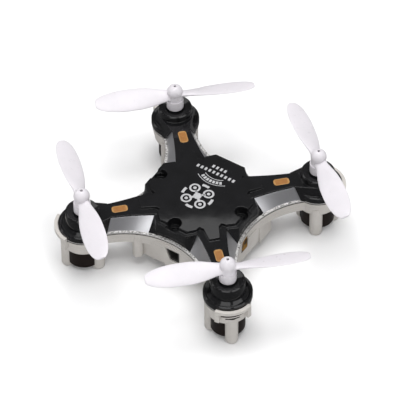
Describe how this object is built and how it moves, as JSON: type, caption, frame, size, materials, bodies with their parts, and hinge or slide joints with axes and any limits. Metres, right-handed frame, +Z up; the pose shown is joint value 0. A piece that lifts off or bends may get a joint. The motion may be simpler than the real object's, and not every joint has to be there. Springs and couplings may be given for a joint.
{
  "type": "mini quadcopter drone",
  "caption": "Palm-size quadcopter with glossy canopy, silver arm panels, three-legged motor pods, spinning two-blade propellers and a sliding power switch.",
  "frame": {"origin": "on the table plane, under the centre of the four motors", "axes": "+Z up; the nose points towards -Y; the drone's own left is +X"},
  "size_m": [0.0614, 0.0591, 0.0208],
  "materials": {
    "gloss_black": "polished",
    "silver_paint": "silver metallic paint",
    "warm_grey": "fine satin",
    "amber": "translucent",
    "amber_dark": "translucent",
    "lamp_white": "clear",
    "cord_black": "satin",
    "cord_red": "satin",
    "board_green": "lacquered",
    "chip_black": "matt",
    "can_steel": "brushed",
    "cell_foil": "foil",
    "dark_plastic": "satin",
    "pin_brass": "bright",
    "screw_steel": "bright",
    "sleeve_brown": "satin",
    "magnet_dark": "plain",
    "coil_copper": "lacquered wire",
    "milk_white": "slightly translucent"
  },
  "bodies": {
    "airframe": {"canopy": "gloss_black", "mid_frame": "silver_paint", "lower_shell": "warm_grey", "status_lens": "amber_dark", "arm_lamps": "lamp_white", "status_lamp": "lamp_white", "lamp_leads": "cord_black", "circuit_board": "board_green", "main_chip": "chip_black", "radio_chip": "chip_black", "motion_sensor": "chip_black", "crystal": "can_steel", "motor_drivers": "chip_black", "battery": "cell_foil", "battery_lead": "cord_red", "antenna_wire": "cord_black", "charge_socket": "dark_plastic", "charge_pins": "pin_brass", "power_switch_body": "can_steel", "case_screws": "screw_steel", "lens_front_left": "amber", "motor_sleeve_front_left": "sleeve_brown", "motor_can_front_left": "can_steel", "motor_magnet_front_left": "magnet_dark", "motor_end_cap_front_left": "dark_plastic", "motor_wires_front_left": "cord_black", "lens_front_right": "amber", "motor_sleeve_front_right": "sleeve_brown", "motor_can_front_right": "can_steel", "motor_magnet_front_right": "magnet_dark", "motor_end_cap_front_right": "dark_plastic", "motor_wires_front_right": "cord_black", "lens_rear_left": "amber", "motor_sleeve_rear_left": "sleeve_brown", "motor_can_rear_left": "can_steel", "motor_magnet_rear_left": "magnet_dark", "motor_end_cap_rear_left": "dark_plastic", "motor_wires_rear_left": "cord_black", "lens_rear_right": "amber", "motor_sleeve_rear_right": "sleeve_brown", "motor_can_rear_right": "can_steel", "motor_magnet_rear_right": "magnet_dark", "motor_end_cap_rear_right": "dark_plastic", "motor_wires_rear_right": "cord_black"},
    "switch_knob": {"power_switch_knob": "dark_plastic"},
    "rotor_front_left": {"motor_coil_front_left": "coil_copper", "motor_shaft_front_left": "screw_steel", "propeller_front_left": "milk_white"},
    "rotor_front_right": {"motor_coil_front_right": "coil_copper", "motor_shaft_front_right": "screw_steel", "propeller_front_right": "milk_white"},
    "rotor_rear_left": {"motor_coil_rear_left": "coil_copper", "motor_shaft_rear_left": "screw_steel", "propeller_rear_left": "milk_white"},
    "rotor_rear_right": {"motor_coil_rear_right": "coil_copper", "motor_shaft_rear_right": "screw_steel", "propeller_rear_right": "milk_white"}
  },
  "joints": [
    {"name": "spin_front_left", "type": "hinge", "parent": "airframe", "child": "rotor_front_left", "pos_m": [0.0175, -0.0175, 0.018], "axis": [0, 0, 1], "continuous": true},
    {"name": "spin_front_right", "type": "hinge", "parent": "airframe", "child": "rotor_front_right", "pos_m": [-0.0175, -0.0175, 0.018], "axis": [0, 0, 1], "continuous": true},
    {"name": "spin_rear_left", "type": "hinge", "parent": "airframe", "child": "rotor_rear_left", "pos_m": [0.0175, 0.0175, 0.018], "axis": [0, 0, 1], "continuous": true},
    {"name": "spin_rear_right", "type": "hinge", "parent": "airframe", "child": "rotor_rear_right", "pos_m": [-0.0175, 0.0175, 0.018], "axis": [0, 0, 1], "continuous": true},
    {"name": "power_slide", "type": "slide", "parent": "airframe", "child": "switch_knob", "axis": [1, 0, 0], "range_m": [0, 0.0015]}
  ]
}
